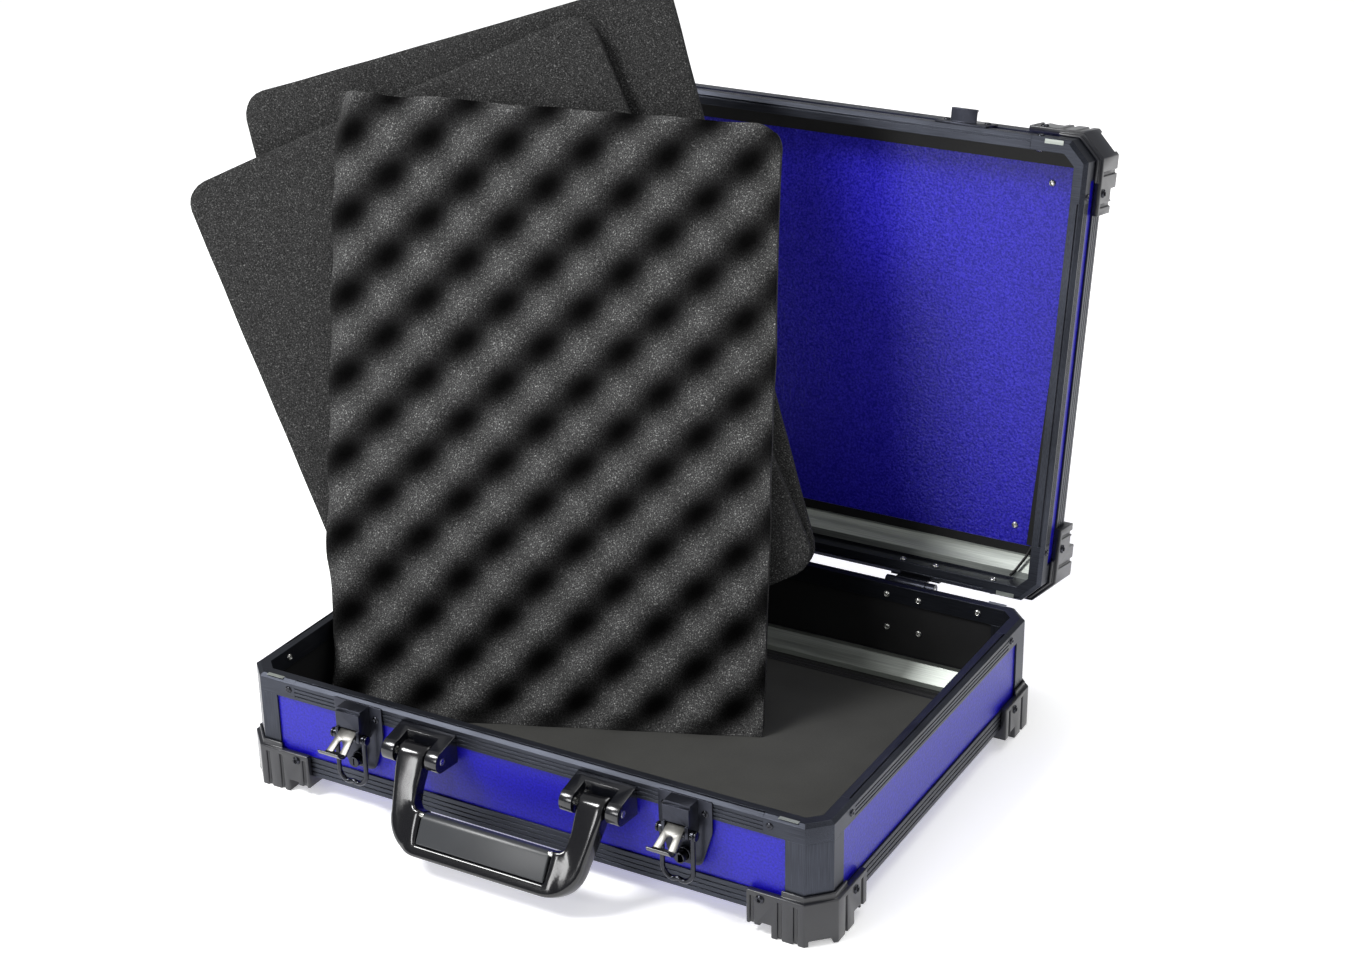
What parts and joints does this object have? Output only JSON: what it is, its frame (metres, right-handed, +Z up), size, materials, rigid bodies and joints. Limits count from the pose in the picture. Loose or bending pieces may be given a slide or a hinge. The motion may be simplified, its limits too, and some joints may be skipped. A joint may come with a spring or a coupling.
{
  "type": "laptop hard case",
  "caption": "Hard case with an aluminium frame, laminate panels, corner feet, draw latches with locks, a folding handle, a hinged lid shown open, and loose foam inserts.",
  "frame": {"origin": "centre of the base's footprint on the plane the feet stand on", "axes": "+Z up, -Y towards the front with the handle and latches, +X towards the right as seen from the front"},
  "size_m": [0.6066, 0.5187, 0.5232],
  "materials": {
    "anodised_frame": "satin, dark anodised extrusion with fine ribs",
    "violet_laminate": "blue-violet moulded laminate, softly pebbled",
    "wall_board": "matt dark fibre board",
    "felt_lining": "dark grey needle felt",
    "bare_aluminium": "brushed, bare",
    "black_abs": "grained moulded plastic",
    "rivet_steel": "bright turned",
    "nickel_plate": "satin nickel",
    "latch_steel": "dark lacquered steel",
    "black_chrome": "black chrome",
    "handle_gloss": "glossy moulded plastic",
    "grip_satin": "satin grey sleeve",
    "open_cell_foam": "charcoal open-cell foam"
  },
  "bodies": {
    "base": {"base_rim_front": "anodised_frame", "base_rim_back": "anodised_frame", "base_rim_sides": "anodised_frame", "base_edge_front": "anodised_frame", "base_edge_back": "anodised_frame", "base_edge_sides": "anodised_frame", "base_panel_front": "violet_laminate", "base_panel_back": "violet_laminate", "base_panel_sides": "violet_laminate", "base_wall_liner": "wall_board", "base_bottom_panel": "violet_laminate", "base_floor_pad": "felt_lining", "base_back_strip": "bare_aluminium", "base_posts": "anodised_frame", "base_rim_corners": "anodised_frame", "base_corner_caps": "black_abs", "base_rivets": "rivet_steel", "base_cap_screws": "rivet_steel", "hinge_base_leaves": "latch_steel", "hinge_pins": "rivet_steel", "latch_plates": "latch_steel", "latch_housings": "latch_steel", "latch_pins": "black_chrome", "lock_collars": "black_chrome", "handle_brackets": "handle_gloss", "handle_pins": "rivet_steel"},
    "lid": {"lid_rim_front": "anodised_frame", "lid_rim_back": "anodised_frame", "lid_rim_sides": "anodised_frame", "lid_edge_front": "anodised_frame", "lid_edge_back": "anodised_frame", "lid_edge_sides": "anodised_frame", "lid_panel_front": "violet_laminate", "lid_panel_back": "violet_laminate", "lid_panel_sides": "violet_laminate", "lid_wall_liner": "wall_board", "lid_top_panel": "violet_laminate", "lid_board": "violet_laminate", "lid_back_strip": "bare_aluminium", "lid_posts": "anodised_frame", "lid_rim_corners": "anodised_frame", "lid_corner_caps": "black_abs", "lid_rivets": "rivet_steel", "lid_cap_screws": "rivet_steel", "lid_catches": "latch_steel", "hinge_lid_leaves": "latch_steel"},
    "lever_left": {"latch_lever_left": "nickel_plate"},
    "lever_right": {"latch_lever_right": "nickel_plate"},
    "bail_left": {"latch_bail_left": "black_chrome"},
    "bail_right": {"latch_bail_right": "black_chrome"},
    "lock_left": {"lock_cylinder_left": "black_chrome"},
    "lock_right": {"lock_cylinder_right": "black_chrome"},
    "handle": {"handle_frame": "handle_gloss", "handle_grip": "grip_satin"},
    "insert_front": {"foam_eggcrate": "open_cell_foam"},
    "insert_middle": {"foam_sheet_middle": "open_cell_foam"},
    "insert_back": {"foam_sheet_back": "open_cell_foam"}
  },
  "joints": [
    {"name": "lid_hinge", "type": "hinge", "parent": "base", "child": "lid", "pos_m": [0, 0.176, 0.0839], "axis": [1, 0, 0], "range_deg": [0, 100]},
    {"name": "handle_swing", "type": "hinge", "parent": "base", "child": "handle", "pos_m": [0, -0.189, 0.0715], "axis": [1, 0, 0], "range_deg": [-90, 23]},
    {"name": "lever_left_turn", "type": "hinge", "parent": "base", "child": "lever_left", "pos_m": [-0.13, -0.183, 0.0665], "axis": [1, 0, 0], "range_deg": [-12, 58]},
    {"name": "bail_left_swing", "type": "hinge", "parent": "base", "child": "bail_left", "pos_m": [-0.13, -0.183, 0.0665], "axis": [1, 0, 0], "range_deg": [-170, 6]},
    {"name": "lock_left_turn", "type": "hinge", "parent": "base", "child": "lock_left", "pos_m": [-0.13, -0.176, 0.045], "axis": [0, -1, 0], "range_deg": [0, 90]},
    {"name": "lever_right_turn", "type": "hinge", "parent": "base", "child": "lever_right", "pos_m": [0.13, -0.183, 0.0665], "axis": [1, 0, 0], "range_deg": [-12, 58]},
    {"name": "bail_right_swing", "type": "hinge", "parent": "base", "child": "bail_right", "pos_m": [0.13, -0.183, 0.0665], "axis": [1, 0, 0], "range_deg": [-170, 6]},
    {"name": "lock_right_turn", "type": "hinge", "parent": "base", "child": "lock_right", "pos_m": [0.13, -0.176, 0.045], "axis": [0, -1, 0], "range_deg": [0, 90]},
    {"name": "insert_front_lift", "type": "slide", "parent": "base", "child": "insert_front", "axis": [0.1999, -0.4998, 0.8427], "range_m": [0, 0.7]},
    {"name": "insert_middle_lift", "type": "slide", "parent": "base", "child": "insert_middle", "axis": [0.1999, -0.4998, 0.8427], "range_m": [0, 0.7]},
    {"name": "insert_back_lift", "type": "slide", "parent": "base", "child": "insert_back", "axis": [0.1999, -0.4998, 0.8427], "range_m": [0, 0.7]}
  ],
  "couplings": [
    {"joint": "insert_front_lift", "follows": "lid_hinge", "m_per_rad": 0.401},
    {"joint": "insert_middle_lift", "follows": "lid_hinge", "m_per_rad": 0.401},
    {"joint": "insert_back_lift", "follows": "lid_hinge", "m_per_rad": 0.401}
  ]
}
